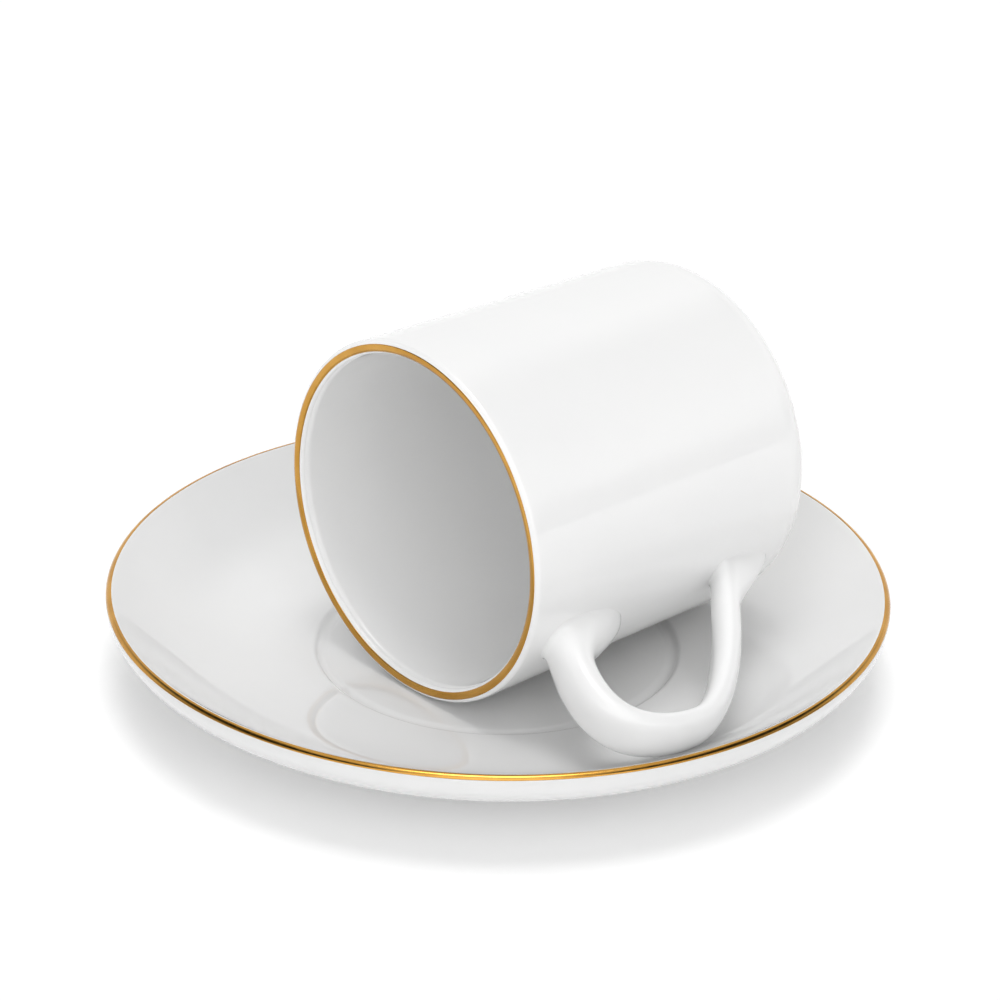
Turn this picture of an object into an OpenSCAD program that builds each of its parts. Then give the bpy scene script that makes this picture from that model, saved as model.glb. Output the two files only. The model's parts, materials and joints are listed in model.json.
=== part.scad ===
// Straight-sided porcelain teacup lying on its side on its matching saucer.
// Millimetres, +Z up. The origin is the centre of the saucer's foot, on the table.

/* [Saucer] */
// Outer diameter over the gilt rim
saucer_d = 150; // [146:1:154]
// Height from the table to the top of the rim
saucer_h = 19; // [18:0.5:20]
// Diameter of the shallow well in the middle
well_d = 71.4; // [66:0.2:74]
// Depth of the step down into the well
well_step = 0.6; // [0.3:0.1:1]
// Outer diameter of the foot ring
saucer_foot_d = 83; // [80:1:88]

/* [Cup] */
// Outer diameter just below the lip
cup_d = 70.6; // [69:0.2:72]
// Outer diameter where the base curve begins
cup_base_d = 67.4; // [65:0.2:69]
// Height from the foot to the lip
cup_h = 73.6; // [72:0.2:76]
// Wall thickness
cup_wall = 2.8; // [2.2:0.1:3.4]
// Radius of the rounded edge round the base
base_round = 7; // [6:0.5:10]
// Outer diameter of the foot ring
cup_foot_d = 48; // [42:1:50]

/* [Handle] */
// Distance from the lip plane to the middle of the upper root
root_upper = 11.4; // [11:0.2:13]
// Distance from the lip plane to the middle of the lower root
root_lower = 51; // [49:0.5:53]
// How far the middle of the strap stands out from the wall
handle_reach = 27; // [24:0.5:27]
// Thickness of the strap near its upper root
strap_t_upper = 7; // [6:0.2:7]
// Thickness of the strap near its lower root
strap_t_lower = 5; // [4.4:0.2:5.4]
// Width of the strap near its upper root
strap_w_upper = 10; // [9:0.2:10.4]
// Width of the strap near its lower root
strap_w_lower = 7.4; // [6.6:0.2:8]

/* [Gilding] */
// Thickness of the gold where it wraps a rim
gilt_t = 0.15; // [0.1:0.05:0.3]

/* [Lying cup] */
// Mouth centre, left of the saucer's centre
lie_x = 16.5; // [16.3:0.1:16.7]
// Mouth centre, in front of the saucer's centre
lie_y = 18.1; // [18:0.1:18.3]
// Heading of the cup from mouth to base
lie_yaw = 41.8; // [41.4:0.1:42.2]
// Rise of the mouth above the base
lie_pitch = 0.4; // [0.2:0.1:0.5]
// How far the handle hangs below level
handle_drop = 25.1; // [22:0.1:25.2]
// Gap kept between the cup and the saucer under it
rest_gap = 0.25; // [0.2:0.05:0.6]

/* [Hidden] */

glaze = [0.95, 0.95, 0.94];
biscuit = [0.93, 0.91, 0.87];
gold = [0.80, 0.58, 0.25];

// Segments round a whole turn
round_fn = 160;
// Steps along one profile curve
curve_steps = 10;

saucer_r = saucer_d / 2;
well_r = well_d / 2;
saucer_foot_r = saucer_foot_d / 2;
// Underside of the plate inside the foot ring, above the table
saucer_recess = 1.6;
saucer_floor_t = 3.7;
floor_z = saucer_recess + saucer_floor_t;
ring_z = floor_z + well_step;
// Width of the sloping step between the well and the slope
step_w = 1.8;
// Steepness of the slope where it leaves the well and where it meets the rim
slope_in = 2;
slope_out = 39;
// How far the slope's curve is drawn out along those two directions
slope_pull_in = 14;
slope_pull_out = 20;
// The rim is rounded with this radius
rim_round = 1;
rim_c = [saucer_r - rim_round, saucer_h - rim_round];
// The underside is part of an ellipse from the rim down to the foot, and the
// whole ellipse would come down to under_low above the table
under_a = 52;
under_low = 2.2;
under_b = saucer_h - rim_round - under_low;
foot_step = 1;
saucer_foot_w = 2.9;
// The unglazed ring is set in from the foot's outer edge by foot_inset, and the
// foot's inner side slants in towards the recess by foot_slant
foot_inset = 0.3;
foot_slant = 0.7;
// The edges of a foot ring's tread narrow in two steps, [inwards, height]
tread_steps = [[0.2, 0.3], [0.7, 0]];
// Part of the rim's rounding that is gilt, in degrees from straight outwards
rim_gilt = [12, 98];

cup_r = cup_d / 2;
cup_base_r = cup_base_d / 2;
cup_foot_r = cup_foot_d / 2;
cup_foot_h = 1.2;
cup_foot_w = 2.4;
cup_floor_t = 3.4;
inner_round = 10;
// The lip is half an ellipse, as wide as the wall and this high
lip_h = 1.2;
lip_c = [cup_r - cup_wall / 2, cup_h - lip_h];
lip_gilt = [66, 136];
// The seat of a gilt band slopes out over this many degrees at each edge
seat_edge = 2;
// Squareness of the base edge, outside and inside: 0.55 is a circle's quarter
base_square = 0.64;
inner_square = 0.6;

// The two ends of the strap widen into the wall over this height
root_flare_h = 5;
root_flare_t = 2.6;
root_flare_w = 2.4;
root_sink = 1.8;
strap_rings = 44;
strap_sides = 20;
// Rings of the strap that belong to each root
root_rings = 7;
// The strap's direction is taken over this share of its length each way
strap_nudge = 0.01;
// The strap stands out furthest this share of the way from root to root
apex_share = 0.235;
// How far its curves are drawn out: along the wall on either side of the apex,
// and at each root as [share of the reach outwards, along the wall]
apex_pull = [7.5, 11];
upper_pull = [0.86, 14.8];
lower_pull = [0.15, 2.5];
// Length of wall past the lower root that trims the strap
wall_past_root = 20;

// ---- Curves ----

// Point at t, from 0 to 1, on a cubic curve with four control points
function bezier(p, t) =
    pow(1 - t, 3) * p[0] + 3 * pow(1 - t, 2) * t * p[1]
    + 3 * (1 - t) * t * t * p[2] + pow(t, 3) * p[3];

// Points along a cubic curve, without its first one
function curve(p) = [for (i = [1:curve_steps]) bezier(p, i / curve_steps)];

// Points on an ellipse round c, from angle a0 to a1
function oval(c, rx, rz, a0, a1) =
    [for (i = [0:curve_steps])
        let (a = a0 + (a1 - a0) * i / curve_steps)
        [c[0] + rx * cos(a), c[1] + rz * sin(a)]];

function along(a) = [cos(a), sin(a)];

// A band that follows an ellipse, from the surface down to a depth
function band(c, rx, rz, angles, depth) = concat(
    oval(c, rx, rz, angles[0], angles[1]),
    oval(c, rx - depth, rz - depth, angles[1], angles[0]));

module turn(points) {
    rotate_extrude($fn = round_fn) polygon(points);
}

// ---- Saucer ----

rim_in = rim_c + rim_round * along(90 + slope_out);

// Well floor, step, and slope up to the rim
function saucer_top() = concat(
    [[0, floor_z], [well_r - step_w, floor_z]],
    curve([[well_r - step_w, floor_z], [well_r - step_w / 2, floor_z],
           [well_r, ring_z] - step_w / 2 * along(slope_in), [well_r, ring_z]]),
    curve([[well_r, ring_z], [well_r, ring_z] + slope_pull_in * along(slope_in),
           rim_in - slope_pull_out * along(slope_out), rim_in]));

// Rim's rounding with the gilt band's seat let into it
function saucer_rim() = concat(
    [rim_c + rim_round * along(rim_gilt[1] + seat_edge)],
    oval(rim_c, rim_round - gilt_t, rim_round - gilt_t, rim_gilt[1], rim_gilt[0]),
    [rim_c + rim_round * along(rim_gilt[0] - seat_edge)]);

foot_turn = acos((saucer_foot_r - saucer_r + under_a) / under_a);
tread_r = saucer_foot_r - foot_inset;

function saucer_under() = concat(
    oval([saucer_r - under_a, saucer_h - rim_round], under_a, under_b,
         0, -foot_turn),
    [[tread_r, foot_step],
     [tread_r - saucer_foot_w, foot_step],
     [tread_r - saucer_foot_w - foot_slant, saucer_recess],
     [0, saucer_recess]]);

// Section of a foot ring, from its outer side round its tread to its inner side
function foot_section(outer, width, top) = concat(
    [[outer, top]],
    [for (s = tread_steps) [outer - s[0], s[1]]],
    [for (i = [1, 0]) [outer - width + tread_steps[i][0], tread_steps[i][1]]],
    [[outer - width, top]]);

module saucer_body() {
    color(glaze) turn(concat(saucer_top(), saucer_rim(), saucer_under()));
}

module saucer_foot_ring() {
    color(biscuit) turn(foot_section(tread_r, saucer_foot_w, foot_step));
}

module saucer_gilt_line() {
    color(gold) turn(band(rim_c, rim_round, rim_round, rim_gilt, gilt_t));
}

// ---- Cup, standing upright on its foot with the handle towards +X ----

function wall_r(z) = cup_base_r + (cup_r - cup_base_r)
    * (z - cup_foot_h - base_round) / (lip_c[1] - cup_foot_h - base_round);

base_corner = [
    [cup_base_r, cup_foot_h + base_round],
    [cup_base_r, cup_foot_h + base_round * (1 - base_square)],
    [cup_base_r - base_round * (1 - base_square), cup_foot_h],
    [cup_base_r - base_round, cup_foot_h]];

inner_base_r = cup_base_r - cup_wall;
inner_floor_z = cup_foot_h + cup_floor_t;
inner_corner = [
    [inner_base_r - inner_round, inner_floor_z],
    [inner_base_r - inner_round * (1 - inner_square), inner_floor_z],
    [inner_base_r, inner_floor_z + inner_round * (1 - inner_square)],
    [inner_base_r, inner_floor_z + inner_round]];

// Lip from the inside to the outside, with the gilt band's seat let into it
function cup_lip() = concat(
    [[lip_c[0] - cup_wall / 2, lip_c[1]]],
    oval(lip_c, cup_wall / 2 - gilt_t, lip_h - gilt_t, lip_gilt[1], lip_gilt[0]),
    oval(lip_c, cup_wall / 2, lip_h, lip_gilt[0] - seat_edge, 0));

function cup_section() = concat(
    [[0, inner_floor_z], inner_corner[0]], curve(inner_corner), cup_lip(),
    [base_corner[0]], curve(base_corner), [[0, cup_foot_h]]);

module cup_body() {
    color(glaze) lie_down() turn(cup_section());
}

module cup_foot_ring() {
    color(biscuit) lie_down() turn(foot_section(cup_foot_r, cup_foot_w, cup_foot_h));
}

module cup_gilt_line() {
    color(gold) lie_down() turn(band(lip_c, cup_wall / 2, lip_h, lip_gilt, gilt_t));
}

// ---- Handle ----

// Middle line of the strap, as [distance out from the wall, distance from the lip]
apex = root_upper + (root_lower - root_upper) * apex_share;
upper_half = [
    [-root_sink, root_upper],
    [handle_reach * upper_pull[0], root_upper - upper_pull[1]],
    [handle_reach, apex - apex_pull[0]],
    [handle_reach, apex]];
lower_half = [
    [handle_reach, apex],
    [handle_reach, apex + apex_pull[1]],
    [handle_reach * lower_pull[0], root_lower - lower_pull[1]],
    [-root_sink, root_lower]];

function strap_mid(u) = u < 0.5 ? bezier(upper_half, 2 * u) : bezier(lower_half, 2 * u - 1);

// Direction of the middle line at u
function strap_dir(u) =
    let (a = strap_mid(max(u - strap_nudge, 0)), b = strap_mid(min(u + strap_nudge, 1)))
    (b - a) / norm(b - a);

function mix(a, b, u) = a + (b - a) * u;

// How much a root has widened at a distance out from the wall
function flare(out) = pow(max(0, 1 - max(out, 0) / root_flare_h), 2);

function strap_ring(u) =
    let (m = strap_mid(u), d = strap_dir(u), f = flare(m[0]),
         t = mix(strap_t_upper, strap_t_lower, u) / 2 + root_flare_t * f,
         w = mix(strap_w_upper, strap_w_lower, u) / 2 + root_flare_w * f)
    [for (k = [0:strap_sides - 1])
        let (a = 360 * k / strap_sides, s = t * cos(a))
        [cup_r + m[0] + d[1] * s, w * sin(a), cup_h - m[1] + d[0] * s]];

// Solid between two rings of the strap, counted from the upper root
module strap_piece(first, last) {
    rings = last - first;
    points = [for (i = [first:last]) each strap_ring(i / strap_rings)];
    sides = [for (i = [0:rings - 1], k = [0:strap_sides - 1])
        let (next = (k + 1) % strap_sides, a = i * strap_sides)
        [a + k, a + next, a + strap_sides + next, a + strap_sides + k]];
    start = [for (k = [0:strap_sides - 1]) strap_sides - 1 - k];
    end = [for (k = [0:strap_sides - 1]) rings * strap_sides + k];
    polyhedron(points, concat([start], sides, [end]), convexity = 4);
}

// Cuts a root off where it meets the cup's outer wall
module off_the_wall() {
    low = cup_h - root_lower - wall_past_root;
    difference() {
        children();
        turn([[0, low], [wall_r(low), low], [wall_r(cup_h), cup_h], [0, cup_h]]);
    }
}

module handle_strap() {
    color(glaze) lie_down() strap_piece(root_rings, strap_rings - root_rings);
}

module handle_joint_upper() {
    color(glaze) lie_down() off_the_wall() strap_piece(0, root_rings);
}

module handle_joint_lower() {
    color(glaze) lie_down() off_the_wall()
        strap_piece(strap_rings - root_rings, strap_rings);
}

// ---- The cup laid on its side ----

lie_z = floor_z + rest_gap + cup_r;

module lie_down() {
    translate([-lie_x, -lie_y, lie_z])
        rotate([0, 0, lie_yaw])
        rotate([0, lie_pitch - 90, 0])
        rotate([0, 0, -90 - handle_drop])
        translate([0, 0, -cup_h])
        children();
}

saucer_body();
saucer_foot_ring();
saucer_gilt_line();
cup_body();
cup_foot_ring();
cup_gilt_line();
handle_strap();
handle_joint_upper();
handle_joint_lower();
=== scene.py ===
"""Looks of the porcelain teacup lying on its saucer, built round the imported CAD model.

Lengths are metres. The saucer is built where it stands. The cup is built upright on its foot,
with its handle towards +X, and every cup piece is then laid down by one matrix.
"""
import json
import math

import bpy
from mathutils import Matrix, Vector


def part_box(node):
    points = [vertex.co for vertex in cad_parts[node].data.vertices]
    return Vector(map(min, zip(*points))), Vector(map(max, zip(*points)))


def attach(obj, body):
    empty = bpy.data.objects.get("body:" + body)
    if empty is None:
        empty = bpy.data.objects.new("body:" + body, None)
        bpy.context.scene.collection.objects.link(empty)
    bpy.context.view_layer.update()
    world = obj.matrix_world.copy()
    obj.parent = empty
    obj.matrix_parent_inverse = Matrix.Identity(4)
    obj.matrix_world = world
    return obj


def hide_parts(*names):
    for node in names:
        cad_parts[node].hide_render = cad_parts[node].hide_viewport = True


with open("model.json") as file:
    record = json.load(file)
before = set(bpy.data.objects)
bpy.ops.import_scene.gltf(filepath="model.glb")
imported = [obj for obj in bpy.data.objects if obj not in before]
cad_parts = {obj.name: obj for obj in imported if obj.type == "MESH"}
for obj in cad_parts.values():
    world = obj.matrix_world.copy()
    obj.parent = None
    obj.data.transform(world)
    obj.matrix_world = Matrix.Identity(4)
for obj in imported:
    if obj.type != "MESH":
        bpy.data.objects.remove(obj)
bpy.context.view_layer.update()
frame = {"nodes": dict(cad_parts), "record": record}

MM = 0.001
TURN = 2 * math.pi
# Name of the mesh attribute that holds each point's place on the upright object
FORM = "form"

# ---- Sizes, from the frame where the frame has them ----


def node_hi(node):
    """Highest corner of a CAD node's box."""
    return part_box(node)[1]


# Saucer: outside, foot ring, recess within the ring, and well
SAUCER_R = node_hi("saucer_body").x
SAUCER_H = node_hi("saucer_gilt_line").z
FOOT_R = node_hi("saucer_foot_ring").x
FOOT_H = node_hi("saucer_foot_ring").z
FOOT_W = 2.9 * MM
RECESS = 1.6 * MM
FLOOR_Z = 5.3 * MM
WELL_R = 35.7 * MM
# The well ends in a small step, with a soft groove along the foot of the step
WELL_STEP = 0.6 * MM
STEP_W = 1.8 * MM
GROOVE_W = 2 * MM
GROOVE_DEPTH = 0.34 * MM
# The slope's angle at each end, and how far it holds to it
SLOPE_IN = math.radians(2)
SLOPE_OUT = math.radians(39)
SLOPE_PULL_IN = 14 * MM
SLOPE_PULL_OUT = 20 * MM
RIM_ROUND = 1.0 * MM
# The underside is a quarter of an oval, this wide and this deep
UNDER_A = 52 * MM
UNDER_B = SAUCER_H - RIM_ROUND - 2.2 * MM
# Small rounding where the underside meets the foot ring: how far up and how far in
SEAT_UP = 0.3 * MM
SEAT_IN = 0.4 * MM
# Ramp from the foot ring up to the recess: distances inwards of its control points
RAMP_IN = (0.3 * MM, 0.5 * MM, 1.2 * MM)
# Gilt part of the rim's rounding, as angles up from straight outwards
RIM_GILT = (math.radians(18), math.radians(98))
RIM_WOBBLE = math.radians(3)

# Cup: outside, wall, rounded base edge, foot ring, inner floor and lip. The base edge's control
# points go this share of the way to its corner
CUP_H = 73.6 * MM
CUP_R = 35.3 * MM
CUP_BASE_R = 33.7 * MM
CUP_WALL = 2.8 * MM
BASE_ROUND = 7 * MM
BASE_SQUARE = 0.64
CUP_FOOT_R = 24 * MM
CUP_FOOT_W = 2.4 * MM
CUP_FOOT_H = 1.2 * MM
CUP_FLOOR_T = 3.4 * MM
INNER_ROUND = 10 * MM
INNER_PULL = 0.4 * INNER_ROUND
LIP_H = 1.2 * MM
LIP_GILT = (math.radians(66), math.radians(130))
LIP_WOBBLE = math.radians(2)

# Tread of both foot rings: how far its rounding reaches, and its control points
TREAD_UP = 0.7 * MM
TREAD_IN = 0.8 * MM
TREAD_PULL_UP = 0.2 * MM
TREAD_PULL_IN = 0.3 * MM

# The gold is a film on the glaze, this thick. Its ring is closed this far inside the body
FILM = 0.03 * MM
GILT_DEPTH = 3 * FILM
GILT_TUCK = 0.02
# Unevenness of a line drawn by hand, as (waves round the rim, share)
WAVES = ((3, 0.5), (7, 0.3), (16, 0.2))
EDGE_SHIFT = 2.3

# Handle: where its middle line meets the wall, measured from the lip, how far out it reaches and
# how deep it starts
ROOT_UPPER = 11.4 * MM
ROOT_LOWER = 51 * MM
REACH = 27 * MM
APEX = ROOT_UPPER + 0.235 * (ROOT_LOWER - ROOT_UPPER)
SINK = 1.8 * MM

# ---- Curves ----


def mix(a, b, t):
    return a + (b - a) * t


def bezier(p, t):
    """Point at t, from 0 to 1, on a cubic curve with four control points."""
    s = 1 - t
    return p[0] * s**3 + p[1] * (3 * s * s * t) + p[2] * (3 * s * t * t) + p[3] * t**3


def along(angle):
    return Vector((math.cos(angle), math.sin(angle)))


def curve(points, steps):
    """Points along a cubic curve, without its first one."""
    corners = [Vector(p) for p in points]
    return [bezier(corners, i / steps) for i in range(1, steps + 1)]


def level_curve(a, b, steps):
    """A smooth rise or fall from a to b, level at both ends."""
    half = Vector((abs(b[0] - a[0]) / 2, 0))
    return curve([a, a + half, b - half, b], steps)


def oval(centre, rx, rz, start, end, steps):
    """Points on an ellipse from one angle to another."""
    turned = [mix(start, end, i / steps) for i in range(steps + 1)]
    return [Vector((centre[0] + rx * math.cos(a), centre[1] + rz * math.sin(a))) for a in turned]


def straight(a, b, steps):
    """Points from a to b, without a, so that long faces stay short enough to shade well."""
    return [mix(Vector(a), Vector(b), i / steps) for i in range(1, steps + 1)]


# ---- Meshes ----


def make_piece(name, points, faces, matrix):
    """A smooth mesh object, laid down by a matrix. Its looks go by the points as they stand upright."""
    mesh = bpy.data.meshes.new(name)
    mesh.from_pydata(points, [], faces)
    form = mesh.attributes.new(FORM, "FLOAT_VECTOR", "POINT")
    form.data.foreach_set("vector", [x for p in points for x in p])
    mesh.transform(matrix)
    mesh.update()
    mesh.shade_smooth()
    piece = bpy.data.objects.new(name, mesh)
    bpy.context.scene.collection.objects.link(piece)
    return piece


def turned_piece(name, outline, sides, matrix):
    """A body turned about Z. The outline starts and ends on the axis, top first."""
    top, bottom = outline[0], outline[-1]
    rim = outline[1:-1]
    count = len(rim)
    points = [(0, 0, top[1])]
    for i in range(sides):
        c, s = math.cos(TURN * i / sides), math.sin(TURN * i / sides)
        points += [(p[0] * c, p[0] * s, p[1]) for p in rim]
    points.append((0, 0, bottom[1]))
    last = len(points) - 1
    faces = []
    for i in range(sides):
        a, b = 1 + i * count, 1 + (i + 1) % sides * count
        faces.append((0, a, b))
        faces += [(a + k, a + k + 1, b + k + 1, b + k) for k in range(count - 1)]
        faces.append((last, b + count - 1, a + count - 1))
    return make_piece(name, points, faces, matrix)


def ring_piece(name, outline_at, sides, matrix):
    """A closed ring about Z. outline_at(angle) gives its closed outline there."""
    points = []
    for i in range(sides):
        angle = TURN * i / sides
        c, s = math.cos(angle), math.sin(angle)
        points += [(p[0] * c, p[0] * s, p[1]) for p in outline_at(angle)]
    count = len(points) // sides
    faces = []
    for i in range(sides):
        a, b = i * count, (i + 1) % sides * count
        faces += [(a + k, a + (k + 1) % count, b + (k + 1) % count, b + k) for k in range(count)]
    return make_piece(name, points, faces, matrix)


def tube_piece(name, rings, matrix):
    """A closed tube through rings of points, with flat ends and a sharp edge one ring in from each."""
    sides = len(rings[0])
    points = [tuple(p) for ring in rings for p in ring]
    faces = [tuple(reversed(range(sides)))]
    for i in range(len(rings) - 1):
        a, b = i * sides, (i + 1) * sides
        faces += [(a + k, a + (k + 1) % sides, b + (k + 1) % sides, b + k) for k in range(sides)]
    faces.append(tuple((len(rings) - 1) * sides + k for k in range(sides)))
    piece = make_piece(name, points, faces, matrix)
    for edge in piece.data.edges:
        a, b = (v // sides for v in edge.vertices)
        edge.use_edge_sharp = a == b and a in (1, len(rings) - 2)
    return piece


# ---- Where the cup lies ----


def cup_matrix():
    """From the upright cup to the lying one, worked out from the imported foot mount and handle."""
    mount = next(m for m in frame["record"]["mounts"] if m["name"] == "cup_foot")
    base_way = Vector(mount["axis"]).normalized()
    up = Vector((0, 0, 1))
    lift = (up - base_way * up.dot(base_way)).normalized()
    foot = Vector(mount["pos_m"]) - lift * (CUP_FOOT_R - CUP_FOOT_W / 2)
    strap = frame["nodes"]["handle_strap"].data.vertices
    middle = sum((v.co for v in strap), Vector()) / len(strap) - foot
    side = (middle - base_way * middle.dot(base_way)).normalized()
    z = -base_way
    y = z.cross(side)
    turn = Matrix((side, y, z)).transposed().to_4x4()
    return Matrix.Translation(foot) @ turn


UPRIGHT = Matrix.Identity(4)
LYING = cup_matrix()

# ---- Parts that both pieces share ----


def foot_outline(outer, width, height):
    """A foot ring's section: upright sides with a rounded tread."""
    inner = outer - width
    edge = ((0, TREAD_UP), (0, TREAD_PULL_UP), (TREAD_PULL_IN, 0), (TREAD_IN, 0))
    outer_turn = [(outer - step, up) for step, up in edge]
    inner_turn = [(inner + step, up) for step, up in reversed(edge)]
    return (
        [Vector((outer, height)), Vector((outer, TREAD_UP))]
        + curve(outer_turn, steps=8)
        + straight(outer_turn[-1], inner_turn[0], steps=3)
        + curve(inner_turn, steps=8)
        + [Vector((inner, height))]
    )


def wander(angle, seed):
    """A slow unevenness round a hand-drawn line, from -1 to 1."""
    return sum(size * math.sin(count * angle + seed * count) for count, size in WAVES)


def gilt_section(centre, rx, rz, angles, wobble, seed):
    """Gives the outline of a painted gold line at each angle round its rim."""

    def at(angle):
        start = angles[0] + wobble * wander(angle, seed)
        end = angles[1] + wobble * wander(angle, seed + EDGE_SHIFT)
        over = oval(centre, rx, rz, start, end, steps=14)
        inner_radii = (rx - GILT_DEPTH, rz - GILT_DEPTH)
        under = oval(centre, *inner_radii, end + GILT_TUCK, start - GILT_TUCK, steps=14)
        return over + under

    return at


def finish_piece(piece, body, slot, material, *nodes):
    """Gives a piece its finish and its body, and hides the CAD nodes that it stands for."""
    piece.data.materials.append(material)
    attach(piece, body)
    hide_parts(*nodes)


# ---- Saucer ----

RIM_C = Vector((SAUCER_R - RIM_ROUND, SAUCER_H - RIM_ROUND))
# The glazed body stops a film's thickness inside the gold
BODY_ROUND = RIM_ROUND - FILM
RIM_TOP = math.pi / 2 + SLOPE_OUT


def saucer_top():
    """The well, its groove and step, and the slope up to the rim's rounding."""
    groove_in = Vector((WELL_R - STEP_W - GROOVE_W, FLOOR_Z))
    groove = Vector((WELL_R - STEP_W, FLOOR_Z - GROOVE_DEPTH))
    step_out = Vector((WELL_R, FLOOR_Z + WELL_STEP))
    rim_in = RIM_C + BODY_ROUND * along(RIM_TOP)
    slope_start = step_out + SLOPE_PULL_IN * along(SLOPE_IN)
    slope_end = rim_in - SLOPE_PULL_OUT * along(SLOPE_OUT)
    return (
        [Vector((0, FLOOR_Z))]
        + straight((0, FLOOR_Z), groove_in, steps=24)
        + level_curve(groove_in, groove, steps=10)
        + level_curve(groove, step_out, steps=14)
        + curve([step_out, slope_start, slope_end, rim_in], steps=60)
    )


def saucer_underside():
    """The rim's rounding, the oval underside, the seat of the foot ring and the recess."""
    under_c = (SAUCER_R - FILM - UNDER_A, RIM_C[1])
    foot_turn = math.acos((FOOT_R - under_c[0]) / UNDER_A)
    seat_in = (FOOT_R - SEAT_IN, FOOT_H)
    seat = [(FOOT_R, FOOT_H + SEAT_UP), (FOOT_R, FOOT_H), (FOOT_R - SEAT_IN / 2, FOOT_H), seat_in]
    foot_in = FOOT_R - FOOT_W
    first, second, last = (foot_in - inwards for inwards in RAMP_IN)
    ramp = [(foot_in, FOOT_H), (first, FOOT_H), (second, RECESS), (last, RECESS)]
    return (
        oval(RIM_C, BODY_ROUND, BODY_ROUND, RIM_TOP, 0, steps=28)[1:]
        + oval(under_c, UNDER_A, UNDER_B, 0, -foot_turn, steps=48)[1:]
        + curve(seat, steps=6)
        + straight(seat_in, ramp[0], steps=4)
        + curve(ramp, steps=8)
        + straight(ramp[-1], (0, RECESS), steps=24)
    )


def make_saucer(looks):
    body = turned_piece("saucer_glazed_body", saucer_top() + saucer_underside(), 288, UPRIGHT)
    foot = ring_piece("saucer_foot_tread", lambda a: foot_outline(FOOT_R, FOOT_W, FOOT_H), 192, UPRIGHT)
    section = gilt_section(RIM_C, RIM_ROUND, RIM_ROUND, RIM_GILT, RIM_WOBBLE, seed=0.7)
    line = ring_piece("saucer_gold_line", section, 384, UPRIGHT)
    finish_piece(body, "saucer", "saucer_glaze", looks["saucer_glaze"], "saucer_body")
    finish_piece(foot, "saucer", "biscuit", looks["biscuit"], "saucer_foot_ring")
    finish_piece(line, "saucer", "gilt", looks["gilt"], "saucer_gilt_line")


# ---- Cup ----

LIP_C = Vector((CUP_R - CUP_WALL / 2, CUP_H - LIP_H))
BASE_TOP = CUP_FOOT_H + BASE_ROUND


def wall_r(z):
    """Radius of the cup's outer wall at a height."""
    return mix(CUP_BASE_R, CUP_R, (z - BASE_TOP) / (LIP_C[1] - BASE_TOP))


def cup_inside():
    """The inner floor, its rounding and the inner wall up to the lip."""
    inner_r = CUP_BASE_R - CUP_WALL
    floor = CUP_FOOT_H + CUP_FLOOR_T
    flat_end = (inner_r - INNER_ROUND, floor)
    wall_start = (inner_r, floor + INNER_ROUND)
    corner = [flat_end, (inner_r - INNER_PULL, floor), (inner_r, floor + INNER_PULL), wall_start]
    return (
        [Vector((0, floor))]
        + straight((0, floor), flat_end, steps=10)
        + curve(corner, steps=20)
        + straight(wall_start, (LIP_C[0] - CUP_WALL / 2, LIP_C[1]), steps=40)
    )


def cup_outside():
    """The lip, the outer wall, the rounded base edge and the base."""
    square = BASE_ROUND * (1 - BASE_SQUARE)
    wall_end = (CUP_BASE_R, BASE_TOP)
    base_edge = (CUP_BASE_R - BASE_ROUND, CUP_FOOT_H)
    corner = [wall_end, (CUP_BASE_R, CUP_FOOT_H + square), (CUP_BASE_R - square, CUP_FOOT_H), base_edge]
    return (
        oval(LIP_C, CUP_WALL / 2 - FILM, LIP_H - FILM, math.pi, 0, steps=36)
        + straight((CUP_R, LIP_C[1]), wall_end, steps=48)
        + curve(corner, steps=24)
        + straight(base_edge, (0, CUP_FOOT_H), steps=20)
    )


def make_cup(looks):
    tread = foot_outline(CUP_FOOT_R, CUP_FOOT_W, CUP_FOOT_H)
    section = gilt_section(LIP_C, CUP_WALL / 2, LIP_H, LIP_GILT, LIP_WOBBLE, seed=1.9)
    body = turned_piece("cup_glazed_body", cup_inside() + cup_outside(), 256, LYING)
    foot = ring_piece("cup_foot_tread", lambda a: tread, 160, LYING)
    line = ring_piece("cup_gold_line", section, 320, LYING)
    finish_piece(body, "cup", "cup_glaze", looks["cup_glaze"], "cup_body")
    finish_piece(foot, "cup", "biscuit", looks["biscuit"], "cup_foot_ring")
    finish_piece(line, "cup", "gilt", looks["gilt"], "cup_gilt_line")


# ---- Handle ----

# Middle line of the strap, as (distance out from the wall, distance from the lip). Each half is a
# cubic curve from the wall to the point that stands furthest out
UPPER_HALF = (
    Vector((-SINK, ROOT_UPPER)),
    Vector((0.86 * REACH, ROOT_UPPER - 14.8 * MM)),
    Vector((REACH, APEX - 7.5 * MM)),
    Vector((REACH, APEX)),
)
LOWER_HALF = (
    Vector((REACH, APEX)),
    Vector((REACH, APEX + 11 * MM)),
    Vector((0.15 * REACH, ROOT_LOWER - 2.5 * MM)),
    Vector((-SINK, ROOT_LOWER)),
)
# Half thickness and half width of the strap at its upper end, middle and lower end
STRAP_T = (3.6 * MM, 2.7 * MM, 2.45 * MM)
STRAP_W = (5.3 * MM, 4.9 * MM, 3.6 * MM)
# Above 2, the strap's section is squarer than an ellipse
STRAP_SQUARE = 2.3
STRAP_SIDES = 72
STRAP_RINGS = 110
STRAP_ANGLES = [TURN * k / STRAP_SIDES for k in range(STRAP_SIDES)]
# Share of the middle line over which its direction is taken, and the halvings that find a place on it
WAY_STEP = 0.01
HALVINGS = 40

# A root's rings, how deep its edge lies in the wall, how deep its buried end lies, and the
# turn over which its edge's direction is taken
ROOT_RINGS = 22
ROOT_SUNK = 0.08 * MM
ROOT_BURIED = 1.2 * MM
EDGE_TURN = 0.02
# A root has narrowed fully at this share of the way to its tip
NARROWED_BY = 0.6


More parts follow.
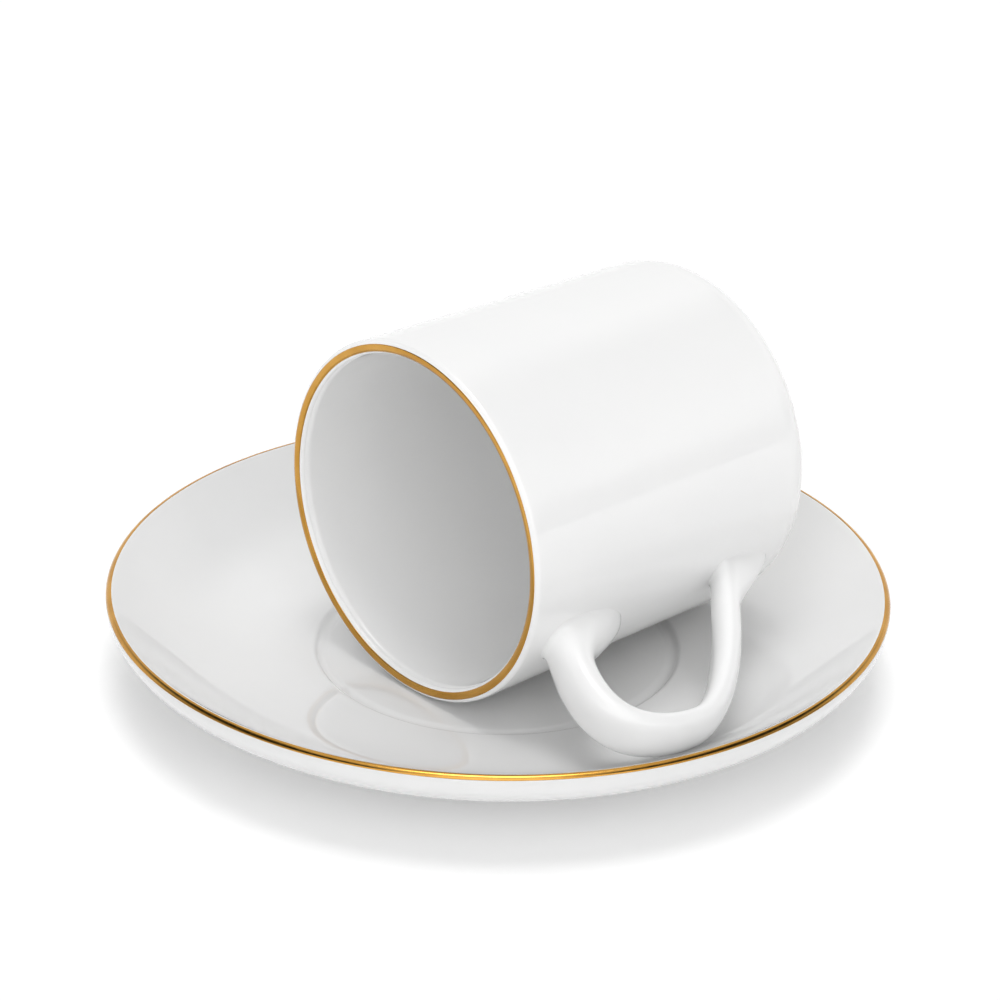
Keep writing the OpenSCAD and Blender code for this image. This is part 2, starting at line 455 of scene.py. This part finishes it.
def three_way(values, u):
    """A value at u, from 0 to 1, through three values, without a kink."""
    first, middle, last = values
    control = 2 * middle - (first + last) / 2
    return mix(mix(first, control, u), mix(control, last, u), u)


def strap_mid(u):
    """Point on the middle line at u, from 0 at the upper end to 1 at the lower end."""
    return bezier(UPPER_HALF, 2 * u) if u < 0.5 else bezier(LOWER_HALF, 2 * u - 1)


def strap_way(u):
    """Direction of the middle line at u."""
    return (strap_mid(min(u + WAY_STEP, 1)) - strap_mid(max(u - WAY_STEP, 0))).normalized()


def power(value, exponent):
    return math.copysign(abs(value) ** exponent, value)


def strap_point(u, angle):
    """Point on the strap's skin. Angle 0 is the outside of the loop, half a turn the inside."""
    mid, way = strap_mid(u), strap_way(u)
    thick = three_way(STRAP_T, u) * power(math.cos(angle), 2 / STRAP_SQUARE)
    wide = three_way(STRAP_W, u) * power(math.sin(angle), 2 / STRAP_SQUARE)
    return Vector((CUP_R + mid[0] + way[1] * thick, wide, CUP_H - mid[1] + way[0] * thick))


def strap_heading(u):
    way = strap_way(u)
    return Vector((way[0], 0, -way[1]))


def strap_u_at(out, first, last):
    """Where the middle line stands this far out from the wall, between two values of u."""
    for _ in range(HALVINGS):
        half = (first + last) / 2
        if (strap_mid(half)[0] < out) == (strap_mid(first)[0] < out):
            first = half
        else:
            last = half
    return first


def wall_point(s, arc, sunk):
    """Point on the outer wall, at a distance from the lip and round from the handle's middle."""
    z = CUP_H - s
    r = wall_r(z)
    return Vector(((r - sunk) * math.cos(arc / r), (r - sunk) * math.sin(arc / r), z))


def by_side(angle, outside, flank, inside):
    """A value that runs from the loop's outside, past its flanks, to its inside."""
    c = math.cos(angle)
    other = outside if c > 0 else inside
    return mix(flank, other, c * c)


def ease(t):
    """Runs smoothly from 0 to 1 as t does, and stays at 1 after that."""
    t = min(t, 1)
    return t * t * (3 - 2 * t)


class Root:
    """How one end of the strap spreads onto the wall.

    centre: distance of the root's middle from the lip, and sign: 1 if its outside faces the lip
    spread, grip, pull, lift: (outside, flank, inside) of how far the edge lies from the middle, how
    long a skin line holds to its start and to the strap, and how steeply it leaves the wall
    narrow, lean, square: (outside, inside) of the width left near the tip, how far the tip leans
    down round the wall, and how square it is
    out: distance from the wall at which the strap's own section takes over
    """

    def __init__(self, centre, sign, spread, narrow, lean, square, grip, pull, lift, out):
        self.centre = centre
        self.sign = sign
        self.spread = spread
        self.narrow = narrow
        self.lean = lean
        self.square = square
        self.grip = grip
        self.pull = pull
        self.lift = lift
        self.out = out

    def foot(self, angle, sunk):
        """Edge of the root on the wall."""
        c, s = math.cos(angle), math.sin(angle)
        end = 0 if c > 0 else 1
        corner = 2 / self.square[end]
        share = power(c, corner)
        flank = self.spread[1] * mix(1, self.narrow[end], ease(abs(share) / NARROWED_BY))
        arc = flank * power(s, corner) - self.lean[end] * share * share
        return wall_point(self.centre - self.sign * self.spread[2 * end] * share, arc, sunk)

    def line(self, angle, u, heading):
        """Four control points of the skin line from the wall to the strap."""
        foot = self.foot(angle, ROOT_SUNK)
        end = strap_point(u, angle)
        normal = Vector((foot.x, foot.y, 0)).normalized()
        edge_way = self.foot(angle + EDGE_TURN, ROOT_SUNK) - self.foot(angle - EDGE_TURN, ROOT_SUNK)
        inward = (edge_way.cross(normal) * self.sign).normalized()
        rise = by_side(angle, *self.lift)
        start_way = inward * math.cos(rise) + normal * math.sin(rise)
        return [
            foot,
            foot + start_way * by_side(angle, *self.grip),
            end - heading * by_side(angle, *self.pull),
            end,
        ]

    def rings(self, u, heading):
        """Rings from inside the wall out to the strap."""
        buried = [self.foot(a, ROOT_BURIED) for a in STRAP_ANGLES]
        lines = [self.line(a, u, heading) for a in STRAP_ANGLES]
        return [buried] + [[bezier(p, i / ROOT_RINGS) for p in lines] for i in range(ROOT_RINGS)]


UPPER_ROOT = Root(
    centre=ROOT_UPPER,
    sign=1,
    spread=(6.6 * MM, 6 * MM, 14.3 * MM),
    narrow=(1, 1),
    lean=(0, 3 * MM),
    square=(2.2, 2.6),
    grip=(1.6 * MM, 2 * MM, 4.6 * MM),
    pull=(5 * MM, 5 * MM, 6.2 * MM),
    lift=(0, 0, math.radians(66)),
    out=9 * MM,
)
LOWER_ROOT = Root(
    centre=ROOT_LOWER + 0.5 * MM,
    sign=-1,
    spread=(12 * MM, 4.4 * MM, 3.2 * MM),
    narrow=(0.9, 1),
    lean=(0.8 * MM, 0),
    square=(2, 2),
    grip=(3.5 * MM, 1.5 * MM, 1 * MM),
    pull=(4.5 * MM, 4 * MM, 3 * MM),
    lift=(math.radians(60), 0, 0),
    out=7.5 * MM,
)


def make_handle(looks):
    u_start = strap_u_at(UPPER_ROOT.out, 0, 0.5)
    u_end = strap_u_at(LOWER_ROOT.out, 1, 0.5)
    upper = UPPER_ROOT.rings(u_start, strap_heading(u_start))
    lower = LOWER_ROOT.rings(u_end, -strap_heading(u_end))
    free = [
        [strap_point(mix(u_start, u_end, i / STRAP_RINGS), a) for a in STRAP_ANGLES]
        for i in range(STRAP_RINGS + 1)
    ]
    handle = tube_piece("handle_strap_and_roots", upper + free + lower[::-1], LYING)
    finish_piece(
        handle, "cup", "cup_glaze", looks["cup_glaze"],
        "handle_strap", "handle_joint_upper", "handle_joint_lower",
    )


# ---- Materials ----

# Colours, each as two that a slow pattern runs between
# The saucer's whites are darker than the cup's for the same porcelain: painted shade for the dimmer
# light on its upturned faces
SAUCER_SHADED_WHITES = ((0.787, 0.788, 0.787), (0.80, 0.80, 0.798))
CUP_WHITES = ((0.907, 0.908, 0.907), (0.92, 0.92, 0.917))
BISCUIT_CREAMS = ((0.80, 0.775, 0.72), (0.70, 0.665, 0.60))
GOLDS = ((0.62, 0.335, 0.075), (0.52, 0.265, 0.05))
FLOOR_WHITES = ((0.92, 0.92, 0.92), (0.93, 0.93, 0.93))
PINHOLE_GREY = (0.45, 0.43, 0.4)
GRIT_BROWN = (0.42, 0.38, 0.33)
THIN_GOLD = (0.3, 0.165, 0.055)
GLAZE_IOR = 1.52
FLOOR_GLOW = 0.125


def add_node(tree, kind, **inputs):
    """A shader node with some of its inputs set, by name."""
    node = tree.nodes.new(kind)
    for name, value in inputs.items():
        node.inputs[name.replace("_", " ")].default_value = value
    return node


def new_look(name):
    material = bpy.data.materials.new(name)
    material.use_nodes = True
    return material, material.node_tree, material.node_tree.nodes["Principled BSDF"]


def upright_place(tree):
    """Where a point is on the upright object, in metres."""
    node = tree.nodes.new("ShaderNodeAttribute")
    node.attribute_name = FORM
    return node.outputs["Vector"]


def noise(tree, where, scale, detail):
    node = add_node(tree, "ShaderNodeTexNoise", Scale=scale, Detail=detail)
    tree.links.new(where, node.inputs["Vector"])
    return node.outputs["Fac"]


def mapped(tree, value, source, target):
    """The value stretched from one range to another, and held to it."""
    node = add_node(
        tree, "ShaderNodeMapRange",
        From_Min=source[0], From_Max=source[1], To_Min=target[0], To_Max=target[1],
    )
    tree.links.new(value, node.inputs["Value"])
    return node.outputs["Result"]


def tint(tree, fac, a, b):
    """A colour between a and b. Each is a colour or the output of another node."""
    node = tree.nodes.new("ShaderNodeMix")
    node.data_type = "RGBA"
    tree.links.new(fac, node.inputs["Factor"])
    for name, colour in (("A", a), ("B", b)):
        if isinstance(colour, tuple):
            node.inputs[name].default_value = (*colour, 1)
        else:
            tree.links.new(colour, node.inputs[name])
    return node.outputs["Result"]


def bump(tree, height, distance, under=None):
    """A normal from a height pattern, on top of another bump's normal if there is one."""
    node = add_node(tree, "ShaderNodeBump", Strength=1.0, Distance=distance)
    tree.links.new(height, node.inputs["Height"])
    if under is not None:
        tree.links.new(under, node.inputs["Normal"])
    return node.outputs["Normal"]


def calc(tree, operation, a, b):
    """Arithmetic on two values. Each is a number or the output of another node."""
    node = tree.nodes.new("ShaderNodeMath")
    node.operation = operation
    for socket, value in zip(node.inputs, (a, b)):
        if isinstance(value, (int, float)):
            socket.default_value = value
        else:
            tree.links.new(value, socket)
    return node.outputs["Value"]


def pinholes(tree, where, cells, radius, share):
    """1 on a few tiny dots, 0 elsewhere."""
    node = add_node(tree, "ShaderNodeTexVoronoi", Scale=cells)
    tree.links.new(where, node.inputs["Vector"])
    dot = calc(tree, "LESS_THAN", node.outputs["Distance"], radius)
    split = tree.nodes.new("ShaderNodeSeparateColor")
    tree.links.new(node.outputs["Color"], split.inputs["Color"])
    chosen = calc(tree, "LESS_THAN", split.outputs["Red"], share)
    return calc(tree, "MULTIPLY", dot, chosen)


def glaze_look(name, whites):
    """Clear glossy glaze over white porcelain: soft pooling, ripples, orange peel and rare pinholes."""
    material, tree, shader = new_look(name)
    where = upright_place(tree)
    pooling = noise(tree, where, scale=42, detail=3)
    ripple = noise(tree, where, scale=95, detail=1)
    peel = noise(tree, where, scale=1300, detail=2)
    dots = pinholes(tree, where, cells=130, radius=0.02, share=0.06)
    body = tint(tree, mapped(tree, pooling, (0.35, 0.65), (0, 1)), *whites)
    tree.links.new(tint(tree, dots, body, PINHOLE_GREY), shader.inputs["Base Color"])
    tree.links.new(mapped(tree, pooling, (0.3, 0.7), (0.025, 0.06)), shader.inputs["Roughness"])
    soft = bump(tree, ripple, 0.03 * MM)
    fine = bump(tree, peel, 0.0006 * MM, soft)
    tree.links.new(bump(tree, dots, -0.02 * MM, fine), shader.inputs["Normal"])
    shader.inputs["IOR"].default_value = GLAZE_IOR
    return material


def biscuit_look():
    """Unglazed fired porcelain: matt, finely grained, greyed where it stands."""
    material, tree, shader = new_look("biscuit_porcelain")
    where = upright_place(tree)
    stain = noise(tree, where, scale=160, detail=4)
    grain = noise(tree, where, scale=5200, detail=3)
    grit = pinholes(tree, where, cells=900, radius=0.16, share=0.25)
    body = tint(tree, mapped(tree, stain, (0.35, 0.7), (0, 1)), *BISCUIT_CREAMS)
    tree.links.new(tint(tree, grit, body, GRIT_BROWN), shader.inputs["Base Color"])
    tree.links.new(mapped(tree, grain, (0.3, 0.7), (0.62, 0.85)), shader.inputs["Roughness"])
    rough = bump(tree, grain, 0.03 * MM)
    tree.links.new(bump(tree, stain, 0.05 * MM, rough), shader.inputs["Normal"])
    return material


def brush_space(tree, where, lengthwise, crosswise):
    """Coordinates that stretch a pattern round a rim, as a banding brush leaves it."""
    split = tree.nodes.new("ShaderNodeSeparateXYZ")
    tree.links.new(where, split.inputs["Vector"])
    squares = [calc(tree, "MULTIPLY", split.outputs[axis], split.outputs[axis]) for axis in "XY"]
    radius = calc(tree, "SQRT", calc(tree, "ADD", *squares), 0)
    across = calc(tree, "SUBTRACT", radius, split.outputs["Z"])
    joined = tree.nodes.new("ShaderNodeCombineXYZ")
    tree.links.new(calc(tree, "MULTIPLY", split.outputs["X"], lengthwise), joined.inputs["X"])
    tree.links.new(calc(tree, "MULTIPLY", split.outputs["Y"], lengthwise), joined.inputs["Y"])
    tree.links.new(calc(tree, "MULTIPLY", across, crosswise), joined.inputs["Z"])
    return joined.outputs["Vector"]


def gilt_look():
    """Fired bright gold: brush streaks round the rim, thicker and thinner places, light wear."""
    material, tree, shader = new_look("bright_gold")
    where = upright_place(tree)
    brushed = brush_space(tree, where, lengthwise=160, crosswise=4200)
    streaks = noise(tree, brushed, scale=1, detail=3)
    patches = noise(tree, where, scale=110, detail=3)
    wear = noise(tree, where, scale=900, detail=4)
    body = tint(tree, mapped(tree, patches, (0.35, 0.65), (0, 1)), *GOLDS)
    thin = tint(tree, mapped(tree, streaks, (0.62, 0.78), (0, 0.6)), body, THIN_GOLD)
    tree.links.new(thin, shader.inputs["Base Color"])
    tree.links.new(mapped(tree, wear, (0.35, 0.7), (0.1, 0.24)), shader.inputs["Roughness"])
    tree.links.new(bump(tree, streaks, 0.004 * MM), shader.inputs["Normal"])
    shader.inputs["Metallic"].default_value = 1
    return material


def floor_look():
    """White table top, faintly lit from below."""
    material, tree, shader = new_look("studio_floor")
    body = tint(tree, noise(tree, upright_place(tree), scale=6, detail=2), *FLOOR_WHITES)
    tree.links.new(body, shader.inputs["Base Color"])
    shader.inputs["Roughness"].default_value = 1
    shader.inputs["Specular IOR Level"].default_value = 0
    shader.inputs["Emission Color"].default_value = (1, 1, 1, 1)
    shader.inputs["Emission Strength"].default_value = FLOOR_GLOW
    return material


# ---- Studio ----

# Camera: height above level, distance from its target, and a slight roll, as in the photograph
ELEVATION = math.radians(26.24)
DISTANCE = 0.9489
ROLL = math.radians(1.1)
TARGET = Vector((0, 0, 0.0371))
LENS = 180
SENSOR = 36
FAR_CLIP = 50

# The table top lies a hair under the saucer's foot, so that no two faces share a plane
TABLE_Z = -0.02 * MM
TABLE_REACH = 4
TABLE_CORNERS = ((-1, -1), (1, -1), (1, 1), (-1, 1))

# Brightness of the tent in front of, behind and right above the object
FRONT_LIGHT = 1.85
BACK_LIGHT = 1.0
TOP_LIGHT = 6.2
# Places on a unit sphere where the tent's parts fade into each other: along Y where the front ends
# and the back starts, out along X where the sides start, and up along Z the rest
FRONT_FADE = (-0.75, -0.25)
BACK_FADE = (0.2, 0.4)
SIDE_EDGE = (0.24, 0.46)
SIDE_FOOT = (0.16, 0.26)
SIDE_MIDDLE = (0.36, 0.62)
SIDE_TOP = (0.86, 0.93)
TOP_FADE = (0.965, 0.982)
# Share of the light that is left high, midway and low at the sides, and low in front
SIDE_LIGHT = (0.02, 0.62, 0.05)
LOW_LIGHT = 0.35


def make_camera():
    data = bpy.data.cameras.new("camera")
    data.lens = LENS
    data.sensor_width = SENSOR
    data.clip_end = FAR_CLIP
    camera = bpy.data.objects.new("camera", data)
    back = Vector((0, -math.cos(ELEVATION), math.sin(ELEVATION)))
    up = Vector((0, math.sin(ELEVATION), math.cos(ELEVATION)))
    right = Vector((1, 0, 0))
    side = right * math.cos(ROLL) + up * math.sin(ROLL)
    top = up * math.cos(ROLL) - right * math.sin(ROLL)
    turn = Matrix((side, top, back)).transposed().to_4x4()
    camera.matrix_world = Matrix.Translation(TARGET + back * DISTANCE) @ turn
    bpy.context.scene.collection.objects.link(camera)
    bpy.context.scene.camera = camera


def side_shade(tree, height):
    """Share of the light kept at the sides: little low down, more midway, least high up, all on top."""
    high, middle, low = SIDE_LIGHT
    foot = mapped(tree, height, SIDE_FOOT, (low, middle))
    waist = mapped(tree, height, SIDE_MIDDLE, (0, middle - high))
    crown = mapped(tree, height, SIDE_TOP, (0, 1 - high))
    return calc(tree, "ADD", calc(tree, "SUBTRACT", foot, waist), crown)


def side_mask(tree, across, depth, height, in_front):
    """1 at the sides of the tent, 0 elsewhere and low down in front and behind."""
    aside = mapped(tree, calc(tree, "ABSOLUTE", across, 0), SIDE_EDGE, (0, 1))
    behind = mapped(tree, depth, BACK_FADE, (0, 1))
    low_down = mapped(tree, height, SIDE_MIDDLE, (1, 0))
    opened = calc(tree, "MULTIPLY", calc(tree, "MAXIMUM", behind, in_front), low_down)
    return calc(tree, "MULTIPLY", aside, calc(tree, "SUBTRACT", 1, opened))


def make_world():
    """A white light tent, brighter in front and on top, with dim sides and a dark foot in front."""
    world = bpy.data.worlds.new("studio")
    world.use_nodes = True
    tree = world.node_tree
    split = tree.nodes.new("ShaderNodeSeparateXYZ")
    tree.links.new(tree.nodes.new("ShaderNodeTexCoord").outputs["Generated"], split.inputs["Vector"])
    across, depth, height = (split.outputs[axis] for axis in "XYZ")
    in_front = mapped(tree, depth, FRONT_FADE, (1, 0))
    walls = mapped(tree, in_front, (0, 1), (BACK_LIGHT, FRONT_LIGHT))
    panels = calc(tree, "MAXIMUM", walls, mapped(tree, height, TOP_FADE, (0, TOP_LIGHT)))
    mask = side_mask(tree, across, depth, height, in_front)
    side_change = calc(tree, "SUBTRACT", side_shade(tree, height), 1)
    side_kept = calc(tree, "ADD", calc(tree, "MULTIPLY", mask, side_change), 1)
    low_front = calc(tree, "MULTIPLY", in_front, mapped(tree, height, SIDE_FOOT, (1, 0)))
    kept = calc(tree, "MULTIPLY", side_kept, mapped(tree, low_front, (0, 1), (1, LOW_LIGHT)))
    light = tree.nodes["Background"]
    light.inputs["Color"].default_value = (1, 1, 1, 1)
    tree.links.new(calc(tree, "MULTIPLY", panels, kept), light.inputs["Strength"])
    bpy.context.scene.world = world


def make_floor():
    corners = [(x * TABLE_REACH, y * TABLE_REACH, TABLE_Z) for x, y in TABLE_CORNERS]
    floor = make_piece("floor", corners, [(0, 1, 2, 3)], UPRIGHT)
    floor.data.materials.append(floor_look())


bpy.context.scene.view_settings.view_transform = "Standard"
all_looks = {
    # The saucer's glaze takes the darker whites, painted shade on the same porcelain as the cup
    "saucer_glaze": glaze_look("saucer_glaze_painted_shade", SAUCER_SHADED_WHITES),
    "cup_glaze": glaze_look("cup_porcelain_glaze", CUP_WHITES),
    "biscuit": biscuit_look(),
    "gilt": gilt_look(),
}
make_saucer(all_looks)
make_cup(all_looks)
make_handle(all_looks)
make_floor()
make_world()
make_camera()
